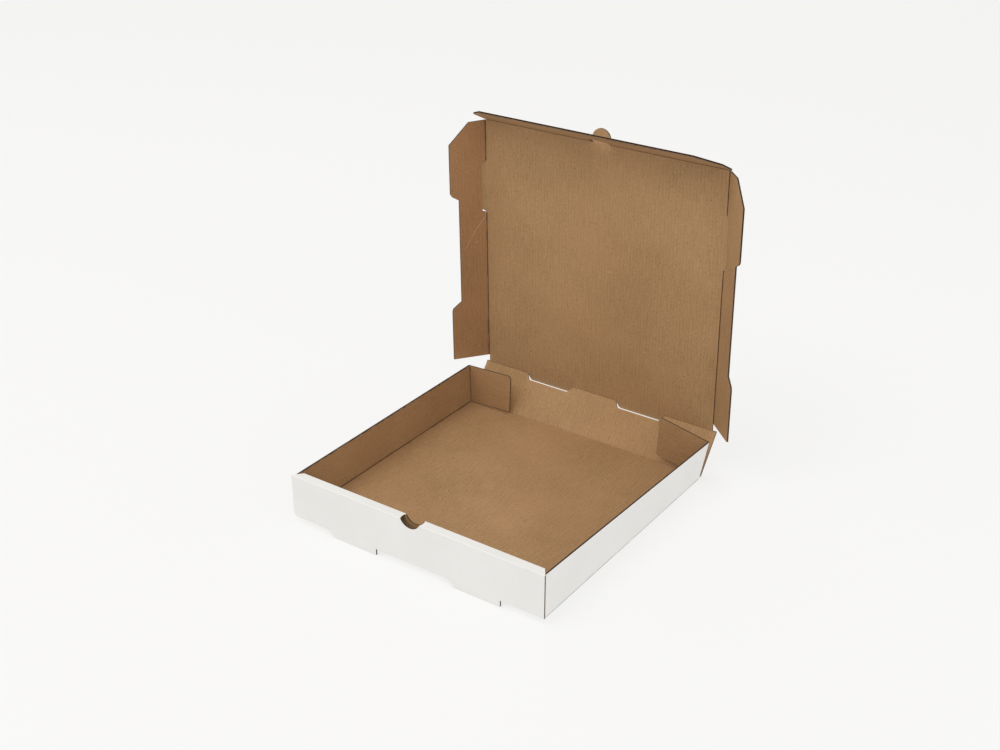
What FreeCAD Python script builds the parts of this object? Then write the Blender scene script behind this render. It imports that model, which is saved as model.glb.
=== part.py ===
import FreeCAD, Part
import Sketcher
import os
import re

os.makedirs("parts", exist_ok=True)
doc = FreeCAD.newDocument("PizzaBox")
sheet = doc.addObject("Spreadsheet::Sheet", "Sizes")

# Driving sizes in millimetres and degrees
SIZES = [
    ("board", 1.5, "thickness of the corrugated board"),
    ("fold_gap", 0.15, "air between a panel and the bead it folds on"),
    ("tab_gap", 0.5, "air at the ends of a tab that stays flat at a fold"),
    ("tip_gap", 0.2, "air past the tip of such a tab"),
    ("base_width", 250, "outside width of the tray"),
    ("base_depth", 254, "front face to the outer face of the rear fold"),
    ("wall_height", 40, "outside height of the walls"),
    ("wall_rear_inset", 4, "side wall end ahead of the rear fold's outer face"),
    ("left_flare", 1.2, "left wall leans out this much at its rear top"),
    ("right_flare", 7.3, "right wall leans out this much at its rear top"),
    ("front_over_left", 2.3, "front wall past the left wall"),
    ("front_over_right", 0.2, "front wall past the right wall"),
    ("front_corner_cut", 3.5, "cut at the lower left corner of the front wall"),
    ("strip_depth", 8.6, "depth of the strip on top of the double front wall"),
    ("strip_inset", 4.7, "strip's rear crease ends inside the tray corners"),
    ("inner_slant", 3.0, "inner front wall comes forward towards its foot"),
    ("trap_length", 45, "tab trapped in the double front wall"),
    ("foot_depth", 5.6, "front wall tabs under the base"),
    ("foot_length", 51.5, "length of these tabs"),
    ("foot_curve", 10, "length of the curved start of these tabs"),
    ("foot_left_start", -90.0, "left tab starts here"),
    ("foot_right_start", 33.0, "right tab starts here"),
    ("notch_radius", 10.4, "thumb notch"),
    ("notch_middle", -2.4, "thumb notch off the middle"),
    ("notch_back", 4.15, "notch centre behind the front crease"),
    ("corner_left_top", 48.5, "left rear corner flap along its top"),
    ("corner_left_low", 46, "left rear corner flap along its foot"),
    ("corner_right_top", 50.5, "right rear corner flap along its top"),
    ("corner_right_low", 45, "right rear corner flap along its foot"),
    ("corner_raise", 2.0, "corner flaps' lower edge above the base"),
    ("corner_short", 1.0, "corner flaps short of the square, degrees"),
    ("crease_round", 0.7, "rounding of the folded edges"),
    ("corner_round", 1.5, "rounding of cut corners"),
    ("lobe_round", 3.0, "rounding of the side flaps' lobes"),
    ("rear_height", 41, "rear fold to lid fold"),
    ("rear_lean", 38, "rear wall leans back, degrees"),
    ("rear_inset_left", 0.4, "rear wall inside the left wall"),
    ("rear_inset_right", 0.7, "rear wall inside the right wall"),
    ("lid_length", 245, "lid fold to front flap fold"),
    ("lid_turn", 39.2, "lid against the rear wall, degrees"),
    ("lid_left", 122.85, "lid's left crease from the middle"),
    ("lid_right", 122.0, "lid's right crease from the middle"),
    ("rear_tab_depth", 5.6, "lid tabs that stay flat at the lid fold"),
    ("rear_tab_length", 51.5, "length of these tabs"),
    ("rear_tab_left", -77.6, "left one starts here"),
    ("rear_tab_right", 20.4, "right one starts here"),
    ("rear_tab_slant", 4.5, "run of their slanted ends"),
    ("vent_start", 156, "side tab starts this far from the lid fold"),
    ("vent_end", 205, "side tab ends here"),
    ("vent_depth", 4.6, "side tab past its fold"),
    ("vent_slant", 1.5, "run of the side tab's ends"),
    ("pull_radius", 9, "round pull tab"),
    ("pull_middle", -0.8, "pull tab off the middle"),
    ("pull_past", 3.4, "pull tab's centre past the front flap's fold"),
    ("front_flap_depth", 38, "lid front flap"),
    ("front_flap_cut", 18, "its corner cuts"),
    ("front_flap_turn", 62, "lid front flap against the lid, degrees"),
    ("side_flap_depth", 37.5, "lid side flaps at their lobes"),
    ("side_flap_waist", 28, "lid side flaps between the lobes"),
    ("side_flap_back", 7.8, "rear end of the side flaps at the fold"),
    ("side_flap_rake", 2.9, "rear edge leans this much forward"),
    ("rear_lobe_end", 63, "rear lobe ends here"),
    ("waist_start", 70, "waist starts here"),
    ("waist_end", 171.5, "waist ends here"),
    ("front_lobe_start", 176.5, "front lobe starts here"),
    ("front_lobe_end", 225, "front lobe ends here"),
    ("side_flap_front", 1.3, "front end of the side flaps short of the fold"),
    ("side_flap_nose", 17, "height of the front end of the side flaps"),
    ("left_flap_turn", 60, "lid left flap against the lid, degrees"),
    ("right_flap_turn", 45, "lid right flap against the lid, degrees"),
]
WORDS = []
for row, (word, amount, note) in enumerate(SIZES, 1):
    sheet.set("A%d" % row, word)
    sheet.set("B%d" % row, str(amount))
    sheet.set("C%d" % row, note)
    sheet.setAlias("B%d" % row, word)
    WORDS.append(word)
doc.recompute()
FINDER = re.compile(r"\b(" + "|".join(sorted(WORDS, key=len, reverse=True)) + r")\b")


def bound(text):
    """Expression in the words of the sheet."""
    return FINDER.sub(r"Sizes.\1", str(text))


def amount_of(text):
    found = sheet.evalExpression(bound(text))
    return float(getattr(found, "Value", found))


def plane(body, role):
    return [item for item in body.Origin.OriginFeatures if item.Role == role][0]


def placed(x, y, z, turns=""):
    """Expression of a placement at x, y, z, followed by turns."""
    text = "create(<<placement>>; create(<<vector>>; %s; %s; %s); " % (x, y, z)
    text += "create(<<rotation>>; create(<<vector>>; 0; 0; 1); 0))"
    return text + turns


def turn(x, y, z, angle):
    """Expression of a turn about an axis, to be added to a placement."""
    text = " * create(<<placement>>; create(<<vector>>; 0; 0; 0); "
    return text + "create(<<rotation>>; create(<<vector>>; %s; %s; %s); %s))" % (x, y, z, angle)


UPRIGHT = turn(1, 0, 0, "90")


def new_body(name):
    body = doc.addObject("PartDesign::Body", name)
    body.Label = name
    return body


def new_sketch(body, name, role="XY_Plane", place=None):
    sketch = body.newObject("Sketcher::SketchObject", name)
    sketch.AttachmentSupport = [(plane(body, role), "")]
    sketch.MapMode = "FlatFace"
    if place:
        sketch.setExpression("AttachmentOffset", bound(place))
    return sketch


def add_loop(sketch, points):
    """Closed outline whose corners are held by the sizes."""
    spots = [FreeCAD.Vector(amount_of(x), amount_of(y), 0) for x, y in points]
    first = sketch.GeometryCount
    count = len(points)
    for index in range(count):
        line = Part.LineSegment(spots[index], spots[(index + 1) % count])
        sketch.addGeometry(line, False)
    for index in range(count):
        here = first + index
        after = first + (index + 1) % count
        sketch.addConstraint(Sketcher.Constraint("Coincident", here, 2, after, 1))
    for index, (x, y) in enumerate(points):
        hold(sketch, "DistanceX", first + index, 1, spots[index].x, x)
        hold(sketch, "DistanceY", first + index, 1, spots[index].y, y)


def hold(sketch, kind, curve, point, amount, text):
    number = sketch.addConstraint(Sketcher.Constraint(kind, curve, point, amount))
    sketch.setExpression("Constraints[%d]" % number, bound(text))


def add_circle(sketch, x, y, radius):
    spot = FreeCAD.Vector(amount_of(x), amount_of(y), 0)
    curve = Part.Circle(spot, FreeCAD.Vector(0, 0, 1), amount_of(radius))
    index = sketch.addGeometry(curve, False)
    hold(sketch, "DistanceX", index, 3, spot.x, x)
    hold(sketch, "DistanceY", index, 3, spot.y, y)
    number = sketch.addConstraint(Sketcher.Constraint("Radius", index, amount_of(radius)))
    sketch.setExpression("Constraints[%d]" % number, bound(radius))


def pad(body, sketch, name, length, symmetric=False, reverse=False):
    solid = body.newObject("PartDesign::Pad", name)
    solid.Profile = sketch
    solid.Length = amount_of(length)
    solid.setExpression("Length", bound(length))
    if symmetric:
        solid.SideType = "Symmetric"
    solid.Reversed = reverse
    sketch.Visibility = False
    return solid


def pocket(body, sketch, name, length, symmetric=False, reverse=False):
    cut = body.newObject("PartDesign::Pocket", name)
    cut.Profile = sketch
    cut.Length = amount_of(length)
    cut.setExpression("Length", bound(length))
    if symmetric:
        cut.SideType = "Symmetric"
    cut.Reversed = reverse
    sketch.Visibility = False
    return cut


def rounding(body, name, radius, wanted):
    """Fillet of the edges of the body's newest feature that pass the test."""
    doc.recompute()
    source = body.Tip
    chosen = []
    for number, edge in enumerate(source.Shape.Edges, 1):
        if len(edge.Vertexes) == 2 and wanted(edge.Vertexes[0].Point, edge.Vertexes[1].Point):
            chosen.append("Edge%d" % number)
    if not chosen:
        raise RuntimeError("no edge to round for " + name)
    made = body.newObject("PartDesign::Fillet", name)
    made.Base = (source, chosen)
    made.Radius = amount_of(radius)
    made.setExpression("Radius", bound(radius))
    return made


def at_corners(spots):
    """Test for upright edges of a flat sheet at these corners."""
    places = [(amount_of(x), amount_of(y)) for x, y in spots]

    def test(first, second):
        if abs(first.x - second.x) > 0.01 or abs(first.y - second.y) > 0.01:
            return False
        return any(abs(first.x - x) < 0.01 and abs(first.y - y) < 0.01 for x, y in places)
    return test


def rectangle(x0, y0, x1, y1):
    return [(x0, y0), (x1, y0), (x1, y1), (x0, y1)]


# Tray: base, side walls, double front wall, trapped tabs and corner flaps
tray = new_body("tray")
FRONT = "(-base_depth / 2)"
REAR = "(base_depth / 2)"
LEFT = "(-base_width / 2)"
RIGHT = "(base_width / 2)"
WALL_END = "(base_depth / 2 - wall_rear_inset)"
BASE_END = "(base_depth / 2 - board / 2 - board / 2 - fold_gap)"

base_sketch = new_sketch(tray, "base_outline")
add_loop(base_sketch, rectangle(LEFT + " + board / 2", FRONT, RIGHT + " - board / 2", BASE_END))
pad(tray, base_sketch, "base", "board")

front_sketch = new_sketch(tray, "front_outline", "XY_Plane", placed("0", FRONT, "0", UPRIGHT))
front_left = LEFT + " - front_over_left"
front_right = RIGHT + " + front_over_right"
foot = []
for start in ("foot_left_start", "foot_right_start"):
    foot.append((start, "0"))
    foot.append((start + " + foot_curve * 0.45", "-foot_depth * 0.72"))
    foot.append((start + " + foot_curve", "-foot_depth"))
    foot.append((start + " + foot_length", "-foot_depth"))
    foot.append((start + " + foot_length", "0"))
front_points = [(front_left + " + front_corner_cut", "0")] + foot
front_points.append((front_right, "0"))
front_points.append((front_right, "wall_height"))
front_points.append((front_left, "wall_height"))
front_points.append((front_left, "front_corner_cut"))
add_loop(front_sketch, front_points)
pad(tray, front_sketch, "front_wall", "board", reverse=True)

strip_sketch = new_sketch(tray, "strip_outline", "XY_Plane", placed("0", "0", "wall_height"))
strip_rear = FRONT + " + strip_depth"
add_loop(strip_sketch, [
    (front_left, FRONT),
    (front_right, FRONT),
    (RIGHT + " - strip_inset", strip_rear),
    (LEFT + " + strip_inset", strip_rear),
])
pad(tray, strip_sketch, "strip", "board", reverse=True)

CREASE_Y = amount_of(FRONT)
CREASE_Z = amount_of("wall_height")


def on_front_crease(first, second):
    level = all(abs(spot.z - CREASE_Z) < 0.01 and abs(spot.y - CREASE_Y) < 0.01 for spot in (first, second))
    return level and abs(first.x - second.x) > 1


rounding(tray, "front_crease", "crease_round", on_front_crease)
SIDEWAYS = turn(0, 0, 1, "90") + turn(1, 0, 0, "90")
inner_place = placed("0", "0", "0", SIDEWAYS)
inner_sketch = new_sketch(tray, "inner_profile", "XY_Plane", inner_place)
foot_rear = strip_rear + " - inner_slant"
add_loop(inner_sketch, [
    (strip_rear + " - board", "wall_height"),
    (strip_rear, "wall_height"),
    (foot_rear, "board / 2"),
    (foot_rear + " - board", "board / 2"),
])
pad(tray, inner_sketch, "inner_wall", "base_width - 2 * strip_inset", symmetric=True)

right_corner = new_body("right_corner_flap")
for side, sign, edge in (("left", 1, LEFT), ("right", -1, RIGHT)):
    wall_end = WALL_END if sign > 0 else WALL_END + " - board - fold_gap"
    flare = "%d * %s_flare" % (-sign, side)
    inner = "%d * board" % sign
    front = new_sketch(tray, side + "_wall_front", "XY_Plane",
                       placed(edge, FRONT + " + board", "0", UPRIGHT))
    crest = "wall_height - 0.3"
    add_loop(front, [("0", "0"), (inner, "0"), (inner, crest), ("0", crest)])
    rear = new_sketch(tray, side + "_wall_rear", "XY_Plane",
                      placed(edge, wall_end, "0", UPRIGHT))
    drop = "wall_height - %s_flare * %s_flare / wall_height / 2" % (side, side)
    add_loop(rear, [("0", "0"), (inner, "0"), (inner + " + " + flare, drop), (flare, drop)])
    wall = tray.newObject("PartDesign::AdditiveLoft", side + "_wall")
    wall.Profile = front
    wall.Sections = [rear]
    wall.Ruled = True
    front.Visibility = False
    rear.Visibility = False
    trap = new_sketch(tray, side + "_trap_outline", "XY_Plane",
                      placed(edge, FRONT + " + board", "0", UPRIGHT))
    reach = "%d * trap_length" % sign
    slope = "%d * (trap_length - 6)" % sign
    root = "%d * 0.4" % sign
    add_loop(trap, [
        (root, "board / 2"), (slope, "board / 2"), (reach, "board + 5"),
        (reach, "wall_height - board - 5"), (slope, "wall_height - board - 0.4"),
        (root, "wall_height - board - 0.4"),
    ])
    pad(tray, trap, side + "_trapped_tab", "board", reverse=True)
    if sign > 0:
        body = tray
        spot = placed(edge, WALL_END, "0", turn(0, 1, 0, "-asin(left_flare / wall_height)"))
    else:
        body = right_corner
        spot = placed("0", "0", "0")
    spot += turn(0, 0, 1, "%d * corner_short" % sign) + UPRIGHT
    corner = new_sketch(body, side + "_corner_outline", "XY_Plane", spot)
    top = "%d * corner_%s_top" % (sign, side)
    low = "%d * corner_%s_low" % (sign, side)
    add_loop(corner, [
        ("0", "corner_raise"), (low, "corner_raise"),
        (top, "wall_height - 3"), (top + " - %d * 3" % sign, "wall_height - 0.3"),
        ("0", "wall_height - 0.3"),
    ])
    pad(body, corner, side + "_corner_sheet", "board")

slot_sketch = new_sketch(tray, "slot_outline", "XY_Plane")
slot_front = FRONT + " + board"
for start in ("foot_left_start", "foot_right_start"):
    add_loop(slot_sketch, [
        (start, slot_front),
        (start + " + foot_length", slot_front),
        (start + " + foot_length", slot_front + " + foot_depth"),
        (start + " + foot_curve", slot_front + " + foot_depth"),
        (start + " + foot_curve * 0.45", slot_front + " + foot_depth * 0.72"),
    ])
pocket(tray, slot_sketch, "slots", "board", reverse=True)

foot_sketch = new_sketch(tray, "inner_foot_outline", "XY_Plane",
                         placed("0", foot_rear, "0", UPRIGHT))
for start in ("foot_left_start", "foot_right_start"):
    add_loop(foot_sketch, rectangle(start + " + foot_curve + 1", "0.2",
                                    start + " + foot_length - 1", "board + 1"))
pad(tray, foot_sketch, "inner_feet", "board")

notch_front = new_sketch(tray, "notch_front", "XY_Plane", placed("0", FRONT + " - 1", "0", UPRIGHT))
add_circle(notch_front, "notch_middle", "wall_height + notch_back", "notch_radius")
pocket(tray, notch_front, "notch_upright", "strip_depth + 2")
notch_top = new_sketch(tray, "notch_top", "XY_Plane", placed("0", "0", "wall_height + 1"))
add_circle(notch_top, "notch_middle", FRONT + " + notch_back", "notch_radius")
pocket(tray, notch_top, "notch_flat", "board + 1.01")

# Rear wall with a bead on each of its folds
rear_wall = new_body("rear_wall")
rear_left = LEFT + " + rear_inset_left"
rear_right = RIGHT + " - rear_inset_right"
rear_sketch = new_sketch(rear_wall, "rear_outline")
add_loop(rear_sketch, rectangle(rear_left, "0", rear_right, "rear_height"))
pad(rear_wall, rear_sketch, "rear_panel", "board", symmetric=True)


def bead(body, name, place, length):
    """Rounded edge on a fold."""
    sketch = new_sketch(body, name + "_round", "XY_Plane", place)
    add_circle(sketch, "0", "0", "board / 2")
    pad(body, sketch, name, length)


TO_X = turn(0, 1, 0, "90")
rear_span = "base_width - rear_inset_left - rear_inset_right"
bead(rear_wall, "rear_fold_bead", placed(rear_left, "0", "0", TO_X), rear_span)
bead(rear_wall, "lid_fold_bead", placed(rear_left, "rear_height", "0", TO_X), rear_span)
gap_sketch = new_sketch(rear_wall, "tab_gaps")
for start in ("rear_tab_left", "rear_tab_right"):
    low = "rear_height - rear_tab_depth - tab_gap"
    end = start + " + rear_tab_length"
    add_loop(gap_sketch, [
        (start + " - tab_gap", "rear_height + board"),
        (start + " - tab_gap", "rear_height - 0.4"),
        (start + " + rear_tab_slant - tab_gap", low),
        (end + " - rear_tab_slant + tab_gap", low),
        (end + " + tab_gap", "rear_height - 0.4"),
        (end + " + tab_gap", "rear_height + board"),
    ])
pocket(rear_wall, gap_sketch, "tab_cut", "3 * board", symmetric=True)

# Lid panel with the tabs that stay flat
lid_panel = new_body("lid_panel")
AXIS_LEFT = "(-lid_left + board / 2)"
AXIS_RIGHT = "(lid_right - board / 2)"
BACK = "(board / 2 + fold_gap)"
lid_x0 = AXIS_LEFT + " + " + BACK
lid_x1 = AXIS_RIGHT + " - " + BACK
lid_points = [(lid_x0, BACK)]
for start in ("rear_tab_left", "rear_tab_right"):
    lid_points.append((start, BACK))
    lid_points.append((start, "-0.4"))
    lid_points.append((start + " + rear_tab_slant", "-rear_tab_depth"))
    lid_points.append((start + " + rear_tab_length - rear_tab_slant", "-rear_tab_depth"))
    lid_points.append((start + " + rear_tab_length", "-0.4"))
    lid_points.append((start + " + rear_tab_length", BACK))
lid_points.append((lid_x1, BACK))
lid_points.append((lid_x1, "vent_start"))
lid_points.append((AXIS_RIGHT + " + vent_depth", "vent_start + vent_slant"))
lid_points.append((AXIS_RIGHT + " + vent_depth", "vent_end - vent_slant"))
lid_points.append((lid_x1, "vent_end"))
lid_points.append((lid_x1, "lid_length - " + BACK))
lid_points.append((lid_x0, "lid_length - " + BACK))
lid_points.append((lid_x0, "vent_end"))
lid_points.append((AXIS_LEFT + " - vent_depth", "vent_end - vent_slant"))
lid_points.append((AXIS_LEFT + " - vent_depth", "vent_start + vent_slant"))
lid_points.append((lid_x0, "vent_start"))
lid_sketch = new_sketch(lid_panel, "lid_outline")
add_loop(lid_sketch, lid_points)
pad(lid_panel, lid_sketch, "lid_sheet", "board", symmetric=True)
pull_sketch = new_sketch(lid_panel, "pull_round")
add_circle(pull_sketch, "pull_middle", "lid_length + pull_past", "pull_radius")
pad(lid_panel, pull_sketch, "pull_tab", "board", symmetric=True)

# Front flap of the lid
lid_front_flap = new_body("lid_front_flap")
front_flap_sketch = new_sketch(lid_front_flap, "front_flap_outline")
add_loop(front_flap_sketch, [
    ("-lid_left", "0"),
    ("lid_right", "0"),
    ("lid_right", "front_flap_depth - front_flap_cut"),
    ("lid_right - front_flap_cut", "front_flap_depth"),
    ("-lid_left + front_flap_cut", "front_flap_depth"),
    ("-lid_left", "front_flap_depth - front_flap_cut"),
])
pad(lid_front_flap, front_flap_sketch, "front_flap_sheet", "board", symmetric=True)
rounding(lid_front_flap, "front_flap_rounds", "corner_round", at_corners([
    ("lid_right", "front_flap_depth - front_flap_cut"),
    ("lid_right - front_flap_cut", "front_flap_depth"),
    ("-lid_left + front_flap_cut", "front_flap_depth"),
    ("-lid_left", "front_flap_depth - front_flap_cut"),
]))
bead(lid_front_flap, "front_flap_bead", placed("-lid_left", "0", "0", TO_X), "lid_left + lid_right")
pull_gap = new_sketch(lid_front_flap, "pull_gap")
add_circle(pull_gap, "pull_middle", "pull_past", "pull_radius + tab_gap")
pocket(lid_front_flap, pull_gap, "pull_cut", "3 * board", symmetric=True)
# Side flaps of the lid
flaps = {}
for side, sign in (("left", 1), ("right", -1)):
    flap = new_body("lid_%s_flap" % side)
    flaps[side] = flap
    outline = [
        ("side_flap_back", "0"),
        ("side_flap_back + side_flap_rake", "side_flap_depth"),
        ("rear_lobe_end", "side_flap_depth"),
        ("waist_start", "side_flap_waist"),
        ("waist_end", "side_flap_waist"),
        ("front_lobe_start", "side_flap_depth - 1"),
        ("front_lobe_end", "side_flap_depth - 1"),
        ("lid_length - side_flap_front", "side_flap_nose"),
        ("lid_length - side_flap_front", "0"),
    ]
    turned = [("%d * (%s)" % (sign, u), v) for u, v in outline]
    sheet_sketch = new_sketch(flap, side + "_flap_outline")
    add_loop(sheet_sketch, turned)
    pad(flap, sheet_sketch, side + "_flap_sheet", "board", symmetric=True)
    rounding(flap, side + "_lobe_rounds", "lobe_round", at_corners([turned[2], turned[5]]))
    rounding(flap, side + "_corner_rounds", "corner_round", at_corners([turned[1], turned[6], turned[7]]))
    span = "lid_length - side_flap_front - side_flap_back"
    start = "side_flap_back" if sign > 0 else "-(lid_length - side_flap_front)"
    bead(flap, side + "_flap_bead", placed(start, "0", "0", TO_X), span)
    vent = [
        ("vent_start - tab_gap", "-board"),
        ("vent_start - tab_gap", "0.4"),
        ("vent_start + vent_slant - tab_gap", "vent_depth + tip_gap"),
        ("vent_end - vent_slant + tab_gap", "vent_depth + tip_gap"),
        ("vent_end + tab_gap", "0.4"),
        ("vent_end + tab_gap", "-board"),
    ]
    vent_sketch = new_sketch(flap, side + "_vent_gap")
    add_loop(vent_sketch, [("%d * (%s)" % (sign, u), v) for u, v in vent])
    pocket(flap, vent_sketch, side + "_vent_cut", "3 * board", symmetric=True)

# Each panel stands on the fold of the panel before it
doc.recompute()
corner_place = placed(RIGHT, WALL_END, "0", turn(0, 1, 0, "asin(right_flare / wall_height)"))
right_corner.setExpression("Placement", bound(corner_place))
rear_place = placed("0", REAR + " - board / 2", "board / 2", turn(1, 0, 0, "90 - rear_lean"))
rear_wall.setExpression("Placement", bound(rear_place))
lid_place = "rear_wall.Placement * " + placed("0", "rear_height", "0", turn(1, 0, 0, "lid_turn"))
lid_panel.setExpression("Placement", bound(lid_place))
front_place = "lid_panel.Placement * "
front_place += placed("0", "lid_length", "0", turn(1, 0, 0, "front_flap_turn"))
lid_front_flap.setExpression("Placement", bound(front_place))
left_place = "lid_panel.Placement * "
left_place += placed(AXIS_LEFT, "0", "0", turn(0, 0, 1, "90") + turn(1, 0, 0, "left_flap_turn"))
flaps["left"].setExpression("Placement", bound(left_place))
right_place = "lid_panel.Placement * "
right_place += placed(AXIS_RIGHT, "0", "0", turn(0, 0, 1, "-90") + turn(1, 0, 0, "right_flap_turn"))
flaps["right"].setExpression("Placement", bound(right_place))
doc.recompute()

# Every object is sound before its panel is saved
for item in doc.Objects:
    if "Invalid" in item.State or "Error" in item.State:
        raise RuntimeError("%s: %s" % (item.Name, item.State))
for body in (tray, right_corner, rear_wall, lid_panel, lid_front_flap, flaps["left"], flaps["right"]):
    shape = body.Shape
    if shape.isNull() or not shape.isValid() or len(shape.Solids) != 1:
        raise RuntimeError("%s is not one sound solid" % body.Name)
    print(body.Name, round(shape.Volume, 1), shape.BoundBox)
    shape.exportStep("parts/%s.step" % body.Name)
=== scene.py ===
import math
import random
import bpy
import bmesh
from mathutils import Matrix, Vector
from mathutils.geometry import tessellate_polygon


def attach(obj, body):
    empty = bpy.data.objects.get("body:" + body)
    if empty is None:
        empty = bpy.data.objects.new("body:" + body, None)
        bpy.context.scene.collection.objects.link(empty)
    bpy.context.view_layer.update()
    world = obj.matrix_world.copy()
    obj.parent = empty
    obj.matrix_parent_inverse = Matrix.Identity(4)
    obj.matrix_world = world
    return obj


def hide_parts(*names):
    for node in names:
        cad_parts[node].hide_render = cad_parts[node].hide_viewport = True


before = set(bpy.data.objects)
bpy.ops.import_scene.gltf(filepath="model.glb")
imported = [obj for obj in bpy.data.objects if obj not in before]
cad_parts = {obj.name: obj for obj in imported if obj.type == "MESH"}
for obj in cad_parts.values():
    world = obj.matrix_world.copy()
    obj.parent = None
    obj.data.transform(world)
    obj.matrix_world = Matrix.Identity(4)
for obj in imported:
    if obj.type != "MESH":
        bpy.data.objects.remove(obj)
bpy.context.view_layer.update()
random.seed(11)
MM = 0.001

# Sizes of the box in millimetres and its angles in degrees, as in the solids
BOARD = 1.5
HALF = BOARD / 2
WIDE = 250.0
DEEP = 254.0
HIGH = 40.0
FRONT = -DEEP / 2
SIDE = WIDE / 2 - HALF
WALL_END = DEEP / 2 - 4.0
REST_EDGE = 1.0
STRIP = 8.6
STRIP_INSET = 4.7
SLANT = 3.0
LEFT_FLARE = 1.2
RIGHT_FLARE = 7.3
FRONT_X0 = -WIDE / 2 - 2.3
FRONT_X1 = WIDE / 2 + 0.2
FRONT_CUT = 2.8
FRONT_CUT_HIGH = 3.5
TAB_STARTS = (-90.0, 33.0)
TAB_LONG = 51.5
TAB_DEEP = 5.6
TAB_CURVE = 10.0
FOOT_DEEP = 1.2
FOOT_INSET = 1.0
TRAP_LONG = 45.0
TRAP_SIDE = 39.0
TRAP_HIGH = 38.0
TRAP_TIP = (6.5, 33.5)
NOTCH_X = -2.4
NOTCH_R = 10.4
NOTCH_BACK = 4.15
CORNER_SHORT = 1.0
CORNER_FOOT = 2.0
CORNER_TOP = HIGH - 0.4
LEFT_CORNER = (48.5, 46.0)
RIGHT_CORNER = (50.5, 45.0)
REAR_HIGH = 41.0
REAR_X0 = -WIDE / 2 + 0.4
REAR_X1 = WIDE / 2 - 0.7
LEAN = 38.0
LID_LONG = 245.0
LID_TURN = 39.2
LID_LEFT = -122.1
LID_RIGHT = 121.25
REAR_TABS = (-77.6, 20.4)
REAR_TAB_DEEP = 5.6
REAR_TAB_SLANT = 4.5
VENT = (156.0, 205.0)
VENT_DEEP = 4.6
VENT_SLANT = 1.5
PULL_X = -0.8
PULL_R = 9.0
PULL_PAST = 3.4
GAP = 0.45
TIP = 0.2
FLAP_X0 = -122.85
FLAP_X1 = 122.0
FLAP_LONG = 38.0
FLAP_CUT = 18.0
FLAP_TURN = 62.0
LEFT_TURN = 60.0
RIGHT_TURN = 45.0
LOBE = 37.5
LOBE_FOOT = 7.8
LOBE_START = 10.7
LOBE_END = 61.0
WAIST = 28.0
WAIST_START = 70.0
WAIST_END = 171.5
NOSE = 36.5
NOSE_START = 178.5
NOSE_END = 225.0
NOSE_TIP = 17.0
NOSE_FAR = LID_LONG - 1.3

# How the board is drawn, in millimetres
LINER = 0.27
PITCH = 3.2
FLUTE_PARTS = 8
FLUTE_BACK = 0.12
FLUTE_INSET = 0.02
THINNEST = 0.05
BEAD_SIDES = 14
COARSE = 60.0
FINE = 18.0
RIM = 0.2
PATTERN_SHIFT = 137.0
GROOVE = 0.38
COVER_NEAR = 0.1
COVER_FAR = 0.95
COVER_RIM = 0.25
OPEN_LONG = (6.0, 26.0)
OPEN_GAP = (0.4, 1.8)
OPEN_SLANT = 0.8
SHORTEST = 3.0
FLUTE_WAVE = 2 * math.pi / (PITCH * MM)

# Places of the sockets of a mix node
MIX_FACTOR = 0
MIX_FIRST = 6
MIX_SECOND = 7
MIX_RESULT = 2

# The floor, in metres
FLOOR_REACH = 14.0
FLOOR_Z = -0.0002


class Value:
    """A shader socket that takes part in plain arithmetic."""

    def __init__(self, tree, socket):
        self.tree = tree
        self.socket = socket

    def feed(self, target, value):
        if isinstance(value, Value):
            self.tree.links.new(value.socket, target)
        else:
            target.default_value = value

    def maths(self, kind, *others):
        node = self.tree.nodes.new("ShaderNodeMath")
        node.operation = kind
        for target, value in zip(node.inputs, (self, *others)):
            self.feed(target, value)
        return Value(self.tree, node.outputs[0])

    def __add__(self, other):
        return self.maths("ADD", other)

    def __sub__(self, other):
        return self.maths("SUBTRACT", other)

    def __mul__(self, other):
        return self.maths("MULTIPLY", other)

    def sine(self):
        return self.maths("SINE")

    def above(self, low, high):
        """How far the value is on its way from low to high, held between 0 and 1."""
        share = (self - low) * (1.0 / (high - low))
        return share.maths("MAXIMUM", 0.0).maths("MINIMUM", 1.0)

    def node(self, kind, **inputs):
        made = self.tree.nodes.new(kind)
        for name, value in inputs.items():
            self.feed(made.inputs[name], value)
        return Value(self.tree, made.outputs[0])


def start_material(name):
    made = bpy.data.materials.new(name)
    made.use_nodes = True
    tree = made.node_tree
    shader = tree.nodes["Principled BSDF"]
    spot = tree.nodes.new("ShaderNodeUVMap")
    spot.uv_map = "board"
    return made, shader, Value(tree, spot.outputs[0])


def noise(spot, scale, detail, stretch=(1.0, 1.0, 1.0)):
    """Noise in the board's own plane; stretch squeezes it along or across the flutes."""
    mapped = spot.node("ShaderNodeMapping", Vector=spot, Scale=stretch)
    return mapped.node("ShaderNodeTexNoise", Vector=mapped, Scale=scale, Detail=detail)


def mix(factor, first, second):
    node = factor.tree.nodes.new("ShaderNodeMix")
    node.data_type = "RGBA"
    factor.feed(node.inputs[MIX_FACTOR], factor)
    for place, colour in ((MIX_FIRST, first), (MIX_SECOND, second)):
        factor.feed(node.inputs[place], colour if isinstance(colour, Value) else (*colour, 1.0))
    return Value(factor.tree, node.outputs[MIX_RESULT])


def bumped(shader, height, strength, distance):
    made = height.node("ShaderNodeBump", Height=height, Strength=strength, Distance=distance)
    height.feed(shader.inputs["Normal"], made)


def surface(shader, rough, shine):
    shader.inputs["Roughness"].default_value = rough
    shader.inputs["Specular IOR Level"].default_value = shine


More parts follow.
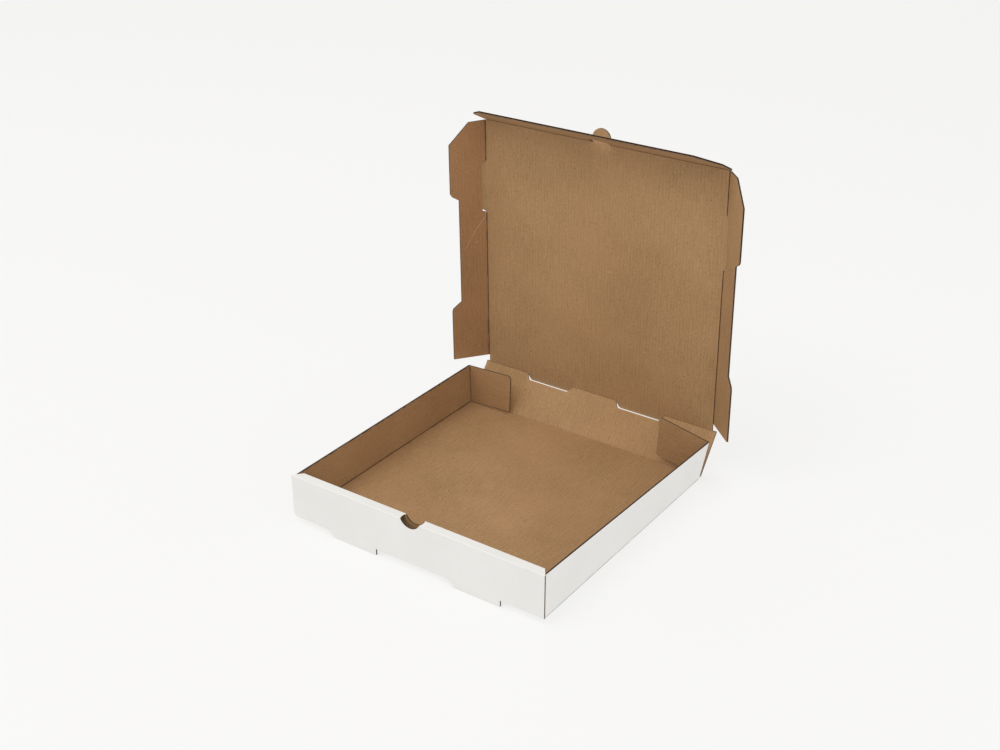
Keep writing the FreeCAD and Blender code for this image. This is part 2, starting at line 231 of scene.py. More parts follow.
def kraft(name, light, dark):
    """Brown liner: fibres, specks, soft clouds and the faint lines of the flutes."""
    made, shader, spot = start_material(name)
    across = spot.node("ShaderNodeSeparateXYZ", Vector=spot)
    drift = noise(spot, 30.0, 2.0)
    wave = (across * FLUTE_WAVE + drift * 2.5).sine()
    cloud = noise(spot, 14.0, 4.0)
    grain = noise(spot, 900.0, 2.0, (1.0, 0.45, 1.0))
    fibre = noise(spot, 420.0, 3.0, (1.0, 0.16, 1.0))
    speck = noise(spot, 620.0, 1.0).above(0.69, 0.74)
    pale = noise(spot, 380.0, 1.0, (0.7, 1.0, 1.0)).above(0.70, 0.76)
    tone = cloud * 0.9 + grain * 1.05 + fibre * 0.65 + wave * 0.055 - 0.8
    colour = mix(tone.above(0.0, 1.0), dark, light)
    warm = noise(spot, 11.0, 3.0).above(0.42, 0.66)
    colour = mix(warm * 0.3, colour, (light[0] * 0.86, light[1] * 0.76, light[2] * 0.72))
    colour = mix(speck * 0.7, colour, tuple(c * 0.4 for c in dark))
    colour = mix(pale * 0.25, colour, tuple(min(1.0, c * 1.5) for c in light))
    spot.feed(shader.inputs["Base Color"], colour)
    surface(shader, 0.86, 0.25)
    bumped(shader, wave * 0.35 + grain * 0.25, 0.35, 0.00016)
    return made


def white(name, light, dark):
    """White outer liner with a trace of the flutes and grey paper clouds."""
    made, shader, spot = start_material(name)
    across = spot.node("ShaderNodeSeparateXYZ", Vector=spot)
    wave = (across * FLUTE_WAVE).sine()
    cloud = noise(spot, 22.0, 4.0)
    grain = noise(spot, 700.0, 2.0)
    tone = cloud * 0.7 + grain * 0.4 + wave * 0.03
    spot.feed(shader.inputs["Base Color"], mix(tone.above(0.15, 0.95), dark, light))
    surface(shader, 0.62, 0.3)
    bumped(shader, wave * 0.12 + grain * 0.2, 0.2, 0.00012)
    return made


def plain(name, colour, rough):
    """One colour with a fine grain, for cut edges, creases and other small marks, several of them painted
    shade, shadow or highlight.
    """
    made, shader, spot = start_material(name)
    grain = noise(spot, 800.0, 2.0).above(0.3, 0.7)
    spot.feed(shader.inputs["Base Color"], mix(grain, tuple(c * 0.8 for c in colour), colour))
    shader.inputs["Roughness"].default_value = rough
    return made


WHITE, KRAFT, RAW, FLUTE_SHADE, CREASE_SHADE, SCRATCH_AND_GLINT, BENT, FOOT_SHADOW, FLUTE_SHADOW, KRAFT_SHADED, KRAFT_LIT = range(11)
MATERIALS = [
    white("white_liner", (0.829, 0.822, 0.799), (0.749, 0.741, 0.718)),
    kraft("kraft_liner", (0.466, 0.286, 0.143), (0.284, 0.163, 0.073)),
    plain("cut_edge", (0.255, 0.168, 0.102), 0.9),
    # fluting: the corrugated medium, coloured far darker than its kraft as painted shade between the
    # liners
    plain("fluting_with_painted_shade", (0.075, 0.045, 0.026), 0.9),
    # pressed_crease_shade: dark brown of a pressed crease, deepened as painted shade in folds
    plain("pressed_crease_shade", (0.155, 0.078, 0.034), 0.9),
    # scuffed_fibre_and_glint: pale fibre of real scratches, also the painted highlight of cut edges
    # catching light
    plain("scuffed_fibre_and_glint", (0.62, 0.44, 0.28), 0.9),
    plain("bent_white", (0.70, 0.692, 0.665), 0.7),
    # painted_foot_shadow: grey painted contact shadow along the foot of the side walls
    plain("painted_foot_shadow", (0.37, 0.36, 0.34), 0.85),
    # open_flute_shadow: near-black painted shadow inside the open flutes of cut edges
    plain("open_flute_shadow", (0.028, 0.018, 0.011), 0.95),
    # kraft_shaded: a darker, redder copy of the kraft, painted shade for the shaded left flap
    kraft("kraft_shaded", (0.424, 0.237, 0.114), (0.258, 0.135, 0.058)),
    # kraft_lit: a lighter copy of the kraft, painted light for the rear wall
    kraft("kraft_lit", (0.503, 0.315, 0.158), (0.307, 0.179, 0.081)),
]


class Panels:
    """Gathers boards into one mesh; paper is their brown liner's material, plain kraft or a copy with
    painted shade or painted light.

    A place is a function from a and b in a board's plane and c through it to the box:
    c is -HALF on the white outside and HALF on the brown inside.
    """

    def __init__(self, paper=KRAFT):
        self.paper = paper
        self.verts = []
        self.faces = []
        self.marks = []
        self.uvs = []
        self.shift = 0.0

    def face(self, points, spots, mark):
        """A face with its corners, their spots on the paper, and its material."""
        start = len(self.verts)
        self.verts.extend(points)
        self.faces.append(list(range(start, start + len(points))))
        self.marks.append(mark)
        self.uvs.extend(((a + self.shift) * MM, (b + self.shift) * MM) for a, b in spots)

    def patch(self, place, ring, level, mark):
        """A face that lies at one level of the board."""
        self.face([place(a, b, level) for a, b in ring], ring, mark)

    def board(self, place, outline, step=None):
        """A corrugated board: white liner outside, kraft inside, and the flutes along b."""
        self.shift += PATTERN_SHIFT
        cells, edges = cut_up(outline, step)
        for c0, c1, outer, inner in (
            (-HALF, -HALF + LINER, WHITE, FLUTE_SHADE),
            (HALF - LINER, HALF, FLUTE_SHADE, self.paper),
        ):
            for cell in cells:
                self.patch(place, cell, c0, outer)
                self.patch(place, cell[::-1], c1, inner)
            for (a0, b0), (a1, b1) in edges:
                self.face(
                    [place(a0, b0, c0), place(a1, b1, c0), place(a1, b1, c1), place(a0, b0, c1)],
                    [(a0, b0), (a1, b1), (a1 + RIM, b1 + RIM), (a0 + RIM, b0 + RIM)],
                    RAW,
                )
        self.flutes(place, outline, step)

    def flutes(self, place, outline, step):
        """The waved sheet between the liners, a little back from the cut edges, in the dark fluting colour
        that paints the shade between the liners.
        """
        low = min(a for a, b in outline)
        high = max(a for a, b in outline)
        width = PITCH / FLUTE_PARTS
        swing = HALF - LINER
        for index in range(math.floor(low / width), math.ceil(high / width)):
            a0 = max(low + FLUTE_INSET, index * width)
            a1 = min(high - FLUTE_INSET, (index + 1) * width)
            if a1 - a0 < THINNEST:
                continue
            c0 = swing * math.sin(2 * math.pi * a0 / PITCH)
            c1 = swing * math.sin(2 * math.pi * a1 / PITCH)
            for start, end in spans(outline, (a0 + a1) / 2):
                for s0, s1 in stretches(start + FLUTE_BACK, end - FLUTE_BACK, step):
                    points = [place(a0, s0, c0), place(a1, s0, c1), place(a1, s1, c1), place(a0, s1, c0)]
                    self.face(points, [(a0, s0), (a1, s0), (a1, s1), (a0, s1)], FLUTE_SHADE)

    def bead(self, place, start, end, step=None, along_b=False):
        """The rounded crease along a fold, on the a axis of its place, or the b axis."""
        def point(s, angle):
            b, c = HALF * math.cos(angle), HALF * math.sin(angle)
            return place(b, s, c) if along_b else place(s, b, c)

        turns = [2 * math.pi * index / BEAD_SIDES for index in range(BEAD_SIDES + 1)]
        for s0, s1 in stretches(start, end, step):
            for t0, t1 in zip(turns, turns[1:]):
                ring = [(s0, t0), (s1, t0), (s1, t1), (s0, t1)]
                # The inner half of the bead is dark: pressed crease with painted shade
                mark = WHITE if math.sin((t0 + t1) / 2) < 0.15 else CREASE_SHADE
                self.face([point(s, t) for s, t in ring], [(s, t * HALF) for s, t in ring], mark)
        for s in (start, end):
            self.face([point(s, t) for t in turns[:-1]], [(0.0, 0.0)] * BEAD_SIDES, RAW)

    def groove(self, place, start, end, step):
        """A strip of painted shade along the valley inside a fold."""
        for s0, s1 in stretches(start, end, step):
            self.patch(place, [(s0, -GROOVE), (s1, -GROOVE), (s1, GROOVE), (s0, GROOVE)], 0.0, CREASE_SHADE)

    def channel(self, place, a, start, end):
        """A near-black strip on the cut edge at a, the painted shadow in the open flute, broken where the
        waved sheet meets the edge.
        """
        c0, c1 = -HALF + LINER * 0.6, HALF - LINER * 0.4
        b = start
        while b < end - SHORTEST:
            long = min(random.uniform(*OPEN_LONG), end - b)
            ring = [(b, c0), (b + long, c0), (b + long - OPEN_SLANT, c1), (b + OPEN_SLANT, c1)]
            self.face([place(a + 0.03, s, c) for s, c in ring], ring, FLUTE_SHADOW)
            b += long + random.uniform(*OPEN_GAP)

    def wear_and_shade_line(self, place, first, last, inward, wide, mark, step=5.0, rough=0.4, level=HALF + 0.06):
        """A line on a face beside an edge, uneven on its far side; it draws cut edges as well as painted
        shade, shadows and highlights.
        """
        count = max(2, int(math.dist(first, last) / step))
        deep = [wide * random.uniform(1.0 - rough, 1.0 + rough) for _ in range(count + 1)]

        def spot(part, push):
            return tuple(p + (q - p) * part / count + push * way for p, q, way in zip(first, last, inward))

        for part in range(count):
            ring = [spot(part, 0.0), spot(part + 1, 0.0)]
            ring += [spot(part + 1, deep[part + 1]), spot(part, deep[part])]
            self.patch(place, ring, level, mark)

    def cover(self, place, start, end, along_b=False):
        """White paper carried over the outside of a fold, with its rim turned in."""
        proud = -HALF - 0.012
        sunk = -HALF + 0.05
        for low, high, c0, c1 in (
            (COVER_NEAR, COVER_FAR, proud, proud),
            (COVER_NEAR - COVER_RIM, COVER_NEAR, sunk, proud),
        ):
            if along_b:
                ring = [(low, start), (high, start), (high, end), (low, end)]
                depths = (c0, c1, c1, c0)
            else:
                ring = [(start, low), (end, low), (end, high), (start, high)]
                depths = (c0, c0, c1, c1)
            self.face([place(a, b, c) for (a, b), c in zip(ring, depths)], ring, BENT)

    def finish(self, name, body, *nodes):
        mesh = bpy.data.meshes.new(name)
        mesh.from_pydata([Vector(v) * MM for v in self.verts], [], self.faces)
        for material in MATERIALS:
            mesh.materials.append(material)
        for polygon, mark in zip(mesh.polygons, self.marks):
            polygon.material_index = mark
        layer = mesh.uv_layers.new(name="board")
        for loop, spot in zip(layer.data, self.uvs):
            loop.uv = spot
        made = bpy.data.objects.new(name, mesh)
        bpy.context.scene.collection.objects.link(made)
        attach(made, body)
        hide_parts(*nodes)


def cut_up(outline, step):
    """Cells and border edges of a flat outline, cut every step along both axes."""
    work = bmesh.new()
    points = [Vector((a, b, 0.0)) for a, b in outline]
    corners = [work.verts.new(point) for point in points]
    for three in tessellate_polygon([points]):
        work.faces.new([corners[index] for index in three])
    bmesh.ops.dissolve_limit(work, angle_limit=0.01, verts=[], edges=work.edges[:], delimit=set())
    if step:
        for axis in (0, 1):
            low = min(point[axis] for point in outline)
            high = max(point[axis] for point in outline)
            normal = [0.0, 0.0, 0.0]
            normal[axis] = 1.0
            for cut, _ in stretches(low, high, step)[1:]:
                spot = [0.0, 0.0, 0.0]
                spot[axis] = cut
                everything = work.verts[:] + work.edges[:] + work.faces[:]
                bmesh.ops.bisect_plane(work, geom=everything, plane_co=spot, plane_no=normal, dist=1e-5)
    bmesh.ops.triangulate(work, faces=work.faces[:])
    cells = [[(v.co.x, v.co.y) for v in face.verts] for face in work.faces]
    edges = []
    for edge in work.edges:
        if len(edge.link_faces) == 1:
            edges.append([(v.co.x, v.co.y) for v in edge.verts])
    work.free()
    return cells, edges


def spans(outline, a):
    """Where the line at a lies inside the outline."""
    hits = []
    for (a0, b0), (a1, b1) in zip(outline, outline[1:] + outline[:1]):
        if (a0 <= a) != (a1 <= a):
            hits.append(b0 + (b1 - b0) * (a - a0) / (a1 - a0))
    hits.sort()
    return [(low, high) for low, high in zip(hits[::2], hits[1::2]) if high - low > 0.5]


def stretches(start, end, step):
    """The line from start to end in equal stretches of about a step, or whole."""
    count = max(1, int(abs(end - start) / step)) if step else 1
    marks = [start + (end - start) * part / count for part in range(count + 1)]
    return list(zip(marks, marks[1:]))


def between(first, tabs, last, gap=0.0):
    """The stretches of a fold that its tabs leave, from first to last."""
    ends = [first]
    for start in tabs:
        ends += [start - gap, start + TAB_LONG + gap]
    ends.append(last)
    return list(zip(ends[::2], ends[1::2]))


def arc(x, y, radius, start, end, count=18):
    turns = [math.radians(start + (end - start) * i / count) for i in range(count + 1)]
    return [(x + radius * math.cos(t), y + radius * math.sin(t)) for t in turns]


def ease(x0, y0, x1, y1, count=8):
    """An S-shaped edge from one point to the next."""
    points = []
    for index in range(count + 1):
        t = index / count
        points.append((x0 + (x1 - x0) * t, y0 + (y1 - y0) * t * t * (3 - 2 * t)))
    return points


def shifted(x, y, z):
    return Matrix.Translation((x, y, z))


def turned(angle, axis):
    return Matrix.Rotation(math.radians(angle), 4, axis)


def through(matrix):
    def place(a, b, c):
        return tuple(matrix @ Vector((a, b, c)))
    return place


# Tray
FOLD = FRONT + HALF
TOP = HIGH - HALF
CREST = HIGH - 0.15
TRAP_Y = FRONT + BOARD + HALF + 0.05
BACK_CREASE = FRONT + STRIP - HALF
INNER_X = WIDE / 2 - STRIP_INSET
TILT = math.atan2(SLANT, HIGH - BOARD)
INNER_LOW = (TOP - BOARD) / math.cos(TILT)
NOTCH_Y = FRONT + NOTCH_BACK
NOTCH_Z = HIGH + NOTCH_BACK
NOTCH_REACH = math.degrees(math.acos((NOTCH_Z - TOP) / NOTCH_R))


def on_base(a, b, c):
    return (a, b, HALF + c)


def on_front(a, b, c):
    return (a, FOLD + c, b)


def on_strip(a, b, c):
    return (a, b, TOP - c)


def on_inner(a, b, c):
    y = BACK_CREASE - b * math.sin(TILT) - c * math.cos(TILT)
    return (a, y, TOP - b * math.cos(TILT) + c * math.sin(TILT))


def twist(y):
    """The share of a side wall's flare, from none at its front to all at its rear end."""
    return (y - FRONT - BOARD) / (WALL_END - FRONT - BOARD)


def on_left(a, b, c):
    flare = LEFT_FLARE * twist(b)
    out = flare * a / HIGH
    return (-SIDE + c - out, b, a - out * flare / HIGH / 2)


def on_right(a, b, c):
    flare = RIGHT_FLARE * twist(b)
    out = flare * a / HIGH
    return (SIDE - c + out, b, a - out * flare / HIGH / 2 - c * flare / HIGH)


def base(tray):
    """The bottom, with openings where the front wall's tabs were cut from it."""
    outline = [(-SIDE, WALL_END), (-SIDE, FOLD)]
    back = FOLD + TAB_DEEP + HALF
    for start in TAB_STARTS:
        outline += ease(start, FOLD, start + TAB_CURVE, back)
        outline += [(start + TAB_LONG, back), (start + TAB_LONG, FOLD)]
    outline += [(SIDE, FOLD), (SIDE, WALL_END)]
    outline += [(SIDE - 1, DEEP / 2 - BOARD), (-SIDE + 1, DEEP / 2 - BOARD)]
    tray.board(on_base, outline, COARSE)


def front_wall(tray):
    """The outer front wall with its hanging tabs, thumb notch and cut lower left corner."""
    outline = [(FRONT_X0 + FRONT_CUT, HALF)]
    for start in TAB_STARTS:
        outline += ease(start, HALF, start + TAB_CURVE, -TAB_DEEP)
        outline += [(start + TAB_LONG, -TAB_DEEP), (start + TAB_LONG, HALF)]
    outline += [(FRONT_X1, HALF), (FRONT_X1, TOP)]
    outline += arc(NOTCH_X, NOTCH_Z, NOTCH_R, -90 + NOTCH_REACH, -90 - NOTCH_REACH)
    outline += [(FRONT_X0, TOP), (FRONT_X0, FRONT_CUT_HIGH)]
    tray.board(on_front, outline, COARSE)


def front_folds(tray):
    """The creases at the front wall's foot and at both edges of the strip above it."""
    def foot(a, b, c):
        return (a, FOLD + c, HALF + b)

    def front_crease(a, b, c):
        return (a, FOLD + c, TOP + b)

    def back_crease(a, b, c):
        return (a, BACK_CREASE + b, TOP - c)

    for start, end in between(FRONT_X0 + FRONT_CUT, TAB_STARTS, FRONT_X1):
        tray.bead(foot, start, end)
    cut = NOTCH_R * math.sin(math.radians(NOTCH_REACH)) + 0.5
    for place, left, right in (
        (front_crease, FRONT_X0, FRONT_X1),
        (back_crease, -INNER_X, INNER_X),
    ):
        tray.bead(place, left, NOTCH_X - cut)
        tray.bead(place, NOTCH_X + cut, right)


def strip(tray):
    """The strip over the hollow front wall, in two pieces beside the thumb notch."""
    front_turn = math.degrees(math.asin((NOTCH_Y - FOLD) / NOTCH_R))
    back_turn = math.degrees(math.asin((BACK_CREASE - NOTCH_Y) / NOTCH_R))
    left = [(FRONT_X0, FOLD)]
    left += arc(NOTCH_X, NOTCH_Y, NOTCH_R, 180 + front_turn, 180 - back_turn, 8)
    left += [(-INNER_X, BACK_CREASE)]
    tray.board(on_strip, left)
    right = [(FRONT_X1, FOLD), (INNER_X, BACK_CREASE)]
    right += arc(NOTCH_X, NOTCH_Y, NOTCH_R, back_turn, -front_turn, 8)
    tray.board(on_strip, right)


def inner_wall(tray):
    """The slanted inner front wall, with feet that stand in the base's openings."""
    drop = NOTCH_BACK + HALF + 0.3
    sweep = math.degrees(math.acos(drop / NOTCH_R))
    outline = arc(NOTCH_X, -drop, NOTCH_R, 90 + sweep, 90 - sweep)
    outline += [(INNER_X, 0.0), (INNER_X, INNER_LOW)]
    for start in reversed(TAB_STARTS):
        left = start + TAB_CURVE + FOOT_INSET
        right = start + TAB_LONG - FOOT_INSET
        outline += [(right, INNER_LOW), (right, INNER_LOW + FOOT_DEEP)]
        outline += [(left, INNER_LOW + FOOT_DEEP), (left, INNER_LOW)]
    outline += [(-INNER_X, INNER_LOW), (-INNER_X, 0.0)]
    tray.board(on_inner, outline)


def side_wall(tray, place, sign, end):
    """A side wall with painted shade along its top and a painted shadow at its foot, and the crease with
    painted shade on the floor beside it.
    """
    start = FRONT + BOARD
    tray.board(place, [(HALF, start), (CREST, start), (CREST, end), (HALF, end)], FINE)
    # A ragged near-black line along the wall's top: painted shadow of the open flutes
    tray.wear_and_shade_line(place, (CREST, FRONT + STRIP + 1.0), (CREST, end - 0.5), (-1, 0),
              wide=0.4, mark=FLUTE_SHADOW, step=2.2, rough=0.95)
    # A grey line along the wall's foot on its outside: painted contact shadow
    tray.wear_and_shade_line(place, (0.15, FRONT + 2.0), (0.15, end - 0.5), (1, 0),
              wide=0.5, mark=FOOT_SHADOW, step=6.0, rough=0.5, level=-HALF - 0.05)
    # Painted shadow in the open flutes of the wall's cut top edge
    tray.channel(place, CREST, FRONT + STRIP + 0.5, end - 0.3)
    # A dark line on the floor along the wall's fold: pressed crease with painted shade
    crease = sign * (SIDE - HALF)
    tray.wear_and_shade_line(on_base, (crease, FRONT + STRIP), (crease, WALL_END - BOARD - 0.3), (-sign, 0),
              wide=0.95, mark=CREASE_SHADE)


def side_fold(tray, sign):
    """A side wall's fold, and its front tab, which the double front wall holds."""
    def fold(a, b, c):
        return (sign * (SIDE - c), a, HALF + b)

    def valley(a, b, c):
        return (sign * (SIDE - HALF - 0.4 + b), a, BOARD + 0.3 + b)

    def on_tab(a, b, c):
        return (sign * (SIDE - b), TRAP_Y + c, a)

    def tab_fold(a, b, c):
        return (sign * (SIDE - c), TRAP_Y + b, a)

    tray.bead(fold, FOLD, WALL_END, COARSE)
    # Painted shade in the valley between the floor and the side wall
    tray.groove(valley, FRONT + STRIP, WALL_END - BOARD - 0.2, COARSE)
    outline = [(HALF, 0.0), (HALF, TRAP_SIDE), (TRAP_TIP[0], TRAP_LONG), (TRAP_TIP[1], TRAP_LONG)]
    outline += [(TRAP_HIGH, TRAP_SIDE), (TRAP_HIGH, 0.0)]
    tray.board(on_tab, outline)
    tray.bead(tab_fold, BOARD, TRAP_HIGH)


def corner_flap(panels, sign, flare, long_top, long_low):
    """A rear corner flap, which leans with its side wall and stands just short of square."""
    lean = sign * math.degrees(math.asin(flare / HIGH))
    matrix = shifted(sign * WIDE / 2, WALL_END, 0) @ turned(lean, "Y") @ turned(-sign * CORNER_SHORT, "Z")

    def place(a, b, c):
        return tuple(matrix @ Vector((-sign * b, -HALF - c, a)))

    def fold(a, b, c):
        return place(a, b + HALF, c)

    outline = [(CORNER_FOOT, HALF), (CORNER_FOOT, long_low)]
    outline += [(3.0, long_low + 0.3), (HIGH - 3.0, long_top), (HIGH - 1.2, long_top - 1.0)]
    outline += [(CORNER_TOP, long_top - 3.0), (CORNER_TOP, HALF)]
    panels.board(place, outline)
    # A dark line along the corner flap's fold: pressed crease with painted shade
    panels.wear_and_shade_line(place, (2.2, BOARD), (HIGH - 0.8, BOARD), (0, 1), wide=0.8, mark=CREASE_SHADE, step=4.0)
    panels.bead(fold, CORNER_FOOT, CORNER_TOP)


tray = Panels()
base(tray)
front_wall(tray)
front_folds(tray)
strip(tray)
inner_wall(tray)
side_wall(tray, on_left, -1, WALL_END - HALF)
side_wall(tray, on_right, 1, WALL_END - BOARD - 0.15)
# A dark line on the floor along the left corner flap's foot: painted shadow of the gap beneath it
tray.wear_and_shade_line(on_base, (-SIDE + 2.0, WALL_END - BOARD), (-SIDE + 45.5, WALL_END - BOARD - 0.8), (0, -1),
          wide=0.6, mark=CREASE_SHADE)
side_fold(tray, -1)
side_fold(tray, 1)
corner_flap(tray, -1, LEFT_FLARE, *LEFT_CORNER)
tray.finish("tray_board", "tray", "tray")

right_corner = Panels()
corner_flap(right_corner, 1, RIGHT_FLARE, *RIGHT_CORNER)
right_corner.finish("right_corner_board", "right_corner_flap", "right_corner_flap")

# Rear wall and lid
REAR = shifted(0, DEEP / 2 - HALF, HALF) @ turned(90 - LEAN, "X")
REAR_EDGE = REAR @ shifted(0, REAR_HIGH, 0)
LID = REAR_EDGE @ turned(LID_TURN, "X")
NEAR = HALF + 0.08


def rear_wall():
    """The rear wall, with openings where the lid's tabs were cut from it."""
    # The rear wall gets the lighter kraft copy: painted light
    rear = Panels(KRAFT_LIT)
    place = through(REAR)
    outline = [(REAR_X0, 0.0), (REAR_X1, 0.0), (REAR_X1, REAR_HIGH)]
    slit = REAR_HIGH - REAR_TAB_DEEP - 0.25
    for start in reversed(REAR_TABS):
        end = start + TAB_LONG
        # A pale line along each slit's cut edge: painted highlight where the edge catches light
        rear.wear_and_shade_line(place, (start + 6.5, slit), (end - 5.0, slit), (0, -1),
                  wide=0.55, mark=SCRATCH_AND_GLINT, step=4.0, rough=0.5)
        outline += [(end + GAP, REAR_HIGH), (end + GAP, REAR_HIGH - 0.4)]
        outline += [(end - REAR_TAB_SLANT + GAP, slit)]
        outline += ease(start + REAR_TAB_SLANT + 1.0 - GAP, slit, start - GAP, REAR_HIGH)
    outline += [(REAR_X0, REAR_HIGH)]
    rear.board(place, outline, COARSE)
    rear.bead(place, REAR_X0, REAR_X1)
    for start, end in between(REAR_X0, REAR_TABS, REAR_X1, GAP):
        rear.bead(through(REAR_EDGE), start, end)
    rear.finish("rear_wall_board", "rear_wall", "rear_wall")


def lid_outline(x0, x1):
    """The lid panel with the tabs at its rear fold and sides, and the round pull tab."""
    far = LID_LONG - NEAR
    outline = [(x0, NEAR)]
    for start in REAR_TABS:
        end = start + TAB_LONG
        outline += [(start, NEAR)]
        outline += ease(start, 0.0, start + REAR_TAB_SLANT + 1.0, -REAR_TAB_DEEP)
        outline += [(end - REAR_TAB_SLANT, -REAR_TAB_DEEP), (end, -0.4), (end, NEAR)]
    outline += [(x1, NEAR), (x1, VENT[0]), (LID_RIGHT + VENT_DEEP, VENT[0] + VENT_SLANT)]
    outline += [(LID_RIGHT + VENT_DEEP, VENT[1] - VENT_SLANT), (x1, VENT[1]), (x1, far)]
    half_turn = math.degrees(math.asin((PULL_PAST + NEAR) / PULL_R))
    outline += arc(PULL_X, LID_LONG + PULL_PAST, PULL_R, -half_turn, 180 + half_turn, 30)
    outline += [(x0, far), (x0, VENT[1]), (LID_LEFT - VENT_DEEP, VENT[1] - VENT_SLANT)]
    outline += [(LID_LEFT - VENT_DEEP, VENT[0] + VENT_SLANT), (x0, VENT[0])]
    return outline


def lid_panel():
    lid = Panels()
    place = through(LID)
    x0 = LID_LEFT + NEAR
    x1 = LID_RIGHT - NEAR
    lid.board(place, lid_outline(x0, x1), COARSE)
    for x, sign in ((LID_LEFT, 1), (LID_RIGHT, -1)):
        def from_side(a, b, c, x=x, sign=sign):
            return place(x + sign * a, b, c)
        lid.cover(from_side, 8.0, VENT[0] - 0.3, along_b=True)
        lid.cover(from_side, VENT[1] + 0.3, LID_LONG - 1.2, along_b=True)

    def from_front(a, b, c):
        return place(a, LID_LONG - b, c)

    lid.cover(from_front, x0 + 0.2, PULL_X - 8.9)
    lid.cover(from_front, PULL_X + 8.9, x1 - 0.2)
    for start, end in between(x0 + 0.2, REAR_TABS, x1 - 0.2, 0.2):
        lid.cover(place, start, end)
    lid.finish("lid_board", "lid", "lid_panel")


def lid_front_flap():
    """The lid's front flap, with cut corners and a round opening for the pull tab."""
    flap = Panels()
    place = through(LID @ shifted(0, LID_LONG, 0) @ turned(FLAP_TURN, "X"))
    radius = PULL_R + GAP
    reach = math.sqrt(radius * radius - PULL_PAST * PULL_PAST)
    turn = math.degrees(math.asin(PULL_PAST / radius))
    corner_high = FLAP_LONG - FLAP_CUT
    outline = [(FLAP_X0, 0.0)] + arc(PULL_X, PULL_PAST, radius, 180 + turn, -turn, 30)
    outline += [(FLAP_X1, 0.0), (FLAP_X1, corner_high), (FLAP_X1 - FLAP_CUT, FLAP_LONG)]
    outline += [(FLAP_X0 + FLAP_CUT, FLAP_LONG), (FLAP_X0, corner_high)]
    flap.board(place, outline, COARSE)
    # Ragged dark lines along the front flap's free edges: painted shade in the fluting colour
    flap.wear_and_shade_line(place, (FLAP_X0 + 19.0, FLAP_LONG), (FLAP_X1 - 19.0, FLAP_LONG), (0, -1),
              wide=1.6, mark=FLUTE_SHADE, step=2.4, rough=0.95)
    flap.wear_and_shade_line(place, (FLAP_X1 - 17.6, 37.6), (FLAP_X1 - 0.4, 20.4), (-0.7, -0.7),
              wide=1.3, mark=FLUTE_SHADE, step=2.0, rough=0.95)
    flap.bead(place, FLAP_X0, PULL_X - reach)
    flap.bead(place, PULL_X + reach, FLAP_X1)
    flap.finish("lid_front_flap_board", "lid_front_flap", "lid_front_flap")


def side_flap_outline():
    """A lobe near the rear, a long waist, a nose with a slanted end, and the side tab's opening."""
    outline = [(0.0, LOBE_FOOT), (LOBE, LOBE_START), (LOBE, LOBE_END), (LOBE - 0.9, LOBE_END + 3.0)]
    outline += [(WAIST, WAIST_START), (WAIST, WAIST_END), (NOSE - 2.0, NOSE_START - 2.9)]
    outline += [(NOSE, NOSE_START), (NOSE, NOSE_END), (NOSE_TIP, NOSE_FAR), (0.0, NOSE_FAR)]
    outline += [(0.0, VENT[1] + GAP), (VENT_DEEP + TIP, VENT[1] - VENT_SLANT + GAP)]
    outline += [(VENT_DEEP + TIP, VENT[0] + VENT_SLANT - GAP), (0.0, VENT[0] - GAP)]
    return outline


def scratches(flap, place):
    """The pale scratch across the left flap, and the chip where it starts."""
    line = ((1.0, 153.0), (13.0, 139.0), (24.0, 121.0))
    for (a0, b0), (a1, b1), wide in zip(line, line[1:], (0.32, 0.26)):
        ring = [(a0, b0 - wide), (a1, b1 - wide), (a1, b1 + wide), (a0, b0 + wide)]
        flap.patch(place, ring, HALF + 0.03, SCRATCH_AND_GLINT)
    flap.patch(place, [(0.9, 154.2), (1.6, 153.4), (2.4, 154.2), (1.6, 155.2)], HALF + 0.05, SCRATCH_AND_GLINT)


def lid_side_flap(name, x, sign, angle, paper):
    """A side flap of the lid; sign is 1 on the left and -1 on the right."""
    flap = Panels(paper)
    matrix = LID @ shifted(x, 0, 0) @ turned(sign * 90.0, "Z") @ turned(angle, "X")

    def place(a, b, c):
        return tuple(matrix @ Vector((sign * b, a, c)))

    flap.board(place, side_flap_outline(), COARSE)
    flap.bead(place, LOBE_FOOT, VENT[0] - GAP, along_b=True)
    flap.bead(place, VENT[1] + GAP, NOSE_FAR, along_b=True)
    # Dark lines along the side flap's fold: pressed crease with painted shade
    for low, high in ((LOBE_FOOT + 0.4, VENT[0] - 1.0), (VENT[1] + 1.0, NOSE_FAR - 0.4)):
        flap.wear_and_shade_line(place, (0.2, low), (0.2, high), (1, 0), wide=1.15, mark=CREASE_SHADE)
    for a, low, high in (
        (LOBE, LOBE_START + 0.8, LOBE_END - 1.0),
        (WAIST, WAIST_START + 1.0, WAIST_END - 1.0),
        (NOSE, NOSE_START + 1.5, NOSE_END - 1.0),
    ):
        flap.wear_and_shade_line(place, (a, low), (a, high), (-1, 0), wide=0.3, mark=RAW, step=2.5, rough=0.95)
    if sign > 0:
        scratches(flap, place)
    flap.finish("lid_%s_flap_board" % name, "lid_%s_flap" % name, "lid_%s_flap" % name)


rear_wall()
lid_panel()
lid_front_flap()
# The left flap gets the darker kraft copy: painted shade
lid_side_flap("left", LID_LEFT, 1, LEFT_TURN, KRAFT_SHADED)
lid_side_flap("right", LID_RIGHT, -1, RIGHT_TURN, KRAFT)


# Floor, lamps and camera
def floor_look():
    made = bpy.data.materials.new("floor_white")
    made.use_nodes = True
    shader = made.node_tree.nodes["Principled BSDF"]
    shader.inputs["Base Color"].default_value = (0.22, 0.22, 0.219, 1)
    shader.inputs["Emission Color"].default_value = (1.0, 0.995, 0.985, 1)
    shader.inputs["Emission Strength"].default_value = 0.70
    surface(shader, 0.75, 0.1)
    return made


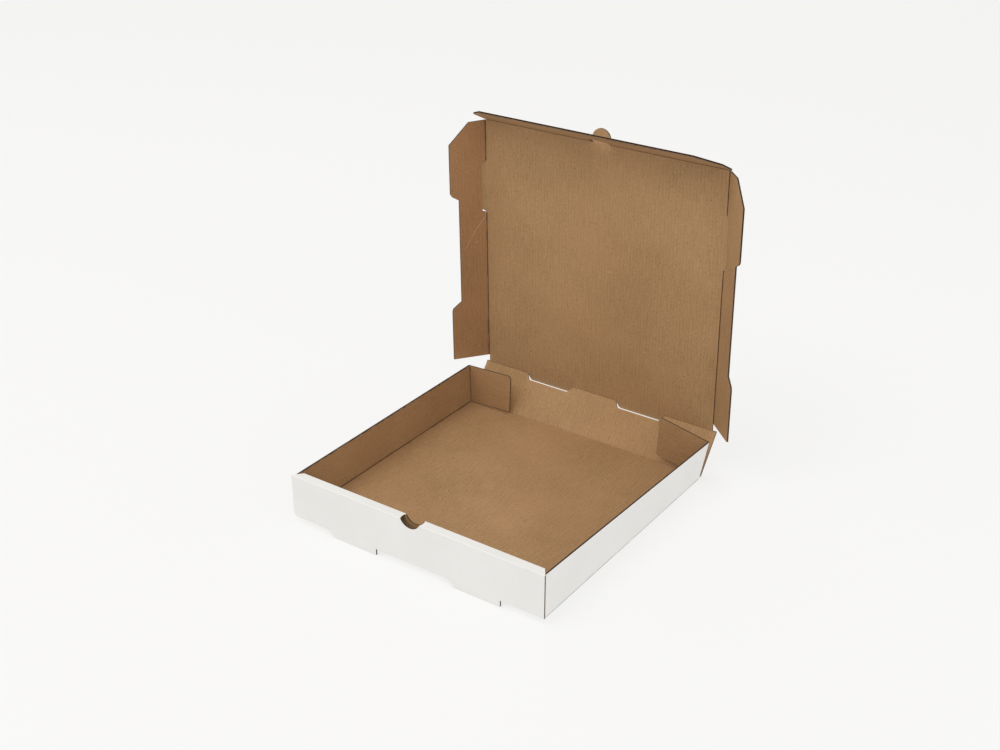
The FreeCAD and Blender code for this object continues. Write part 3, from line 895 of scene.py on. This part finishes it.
def lay_floor():
    """A floor with the slope that the hanging tabs give the box, and level behind it."""
    rear_y = (DEEP / 2 - REST_EDGE) * MM
    front_z = FLOOR_Z - (rear_y + FLOOR_REACH) * TAB_DEEP / (DEEP - REST_EDGE)
    corners = []
    for y, z in ((-FLOOR_REACH, front_z), (rear_y, FLOOR_Z), (FLOOR_REACH, FLOOR_Z)):
        corners += [(-FLOOR_REACH, y, z), (FLOOR_REACH, y, z)]
    mesh = bpy.data.meshes.new("floor")
    mesh.from_pydata(corners, [], [(0, 1, 3, 2), (2, 3, 5, 4)])
    mesh.materials.append(floor_look())
    floor = bpy.data.objects.new("floor", mesh)
    bpy.context.scene.collection.objects.link(floor)


def lamp(name, spot, size, power, colour):
    """A square lamp that shines on the lower part of the box."""
    data = bpy.data.lights.new(name, "AREA")
    data.shape = "SQUARE"
    data.size = size
    data.energy = power
    data.color = colour
    made = bpy.data.objects.new(name, data)
    bpy.context.scene.collection.objects.link(made)
    made.location = spot
    aim = Vector((0, 0, 0.08))
    made.rotation_euler = (Vector(spot) - aim).to_track_quat("Z", "Y").to_euler()


def studio():
    """A pale world, a little brighter where the camera sees it."""
    world = bpy.data.worlds.new("studio")
    bpy.context.scene.world = world
    world.use_nodes = True
    tree = world.node_tree
    back = tree.nodes["Background"]
    back.inputs["Color"].default_value = (1.0, 1.0, 0.995, 1)
    path = tree.nodes.new("ShaderNodeLightPath")
    seen = Value(tree, path.outputs["Is Camera Ray"])
    seen.feed(back.inputs["Strength"], seen * 0.19 + 0.72)


def place_camera():
    data = bpy.data.cameras.new("camera")
    data.sensor_width = 36.0
    data.lens = 51.68
    camera = bpy.data.objects.new("camera", data)
    bpy.context.scene.collection.objects.link(camera)
    camera.location = (0.60206, -0.86763, 0.65997)
    camera.rotation_euler = (math.radians(90 - 27.19), 0, math.radians(34.94))
    bpy.context.scene.camera = camera
    bpy.context.scene.view_settings.view_transform = "Standard"


lay_floor()
lamp("key", (-0.7, -1.2, 2.5), 2.2, 29.6, (1.0, 0.99, 0.97))
lamp("fill", (1.7, -0.8, 1.3), 2.0, 10.4, (1.0, 0.98, 0.95))
studio()
place_camera()
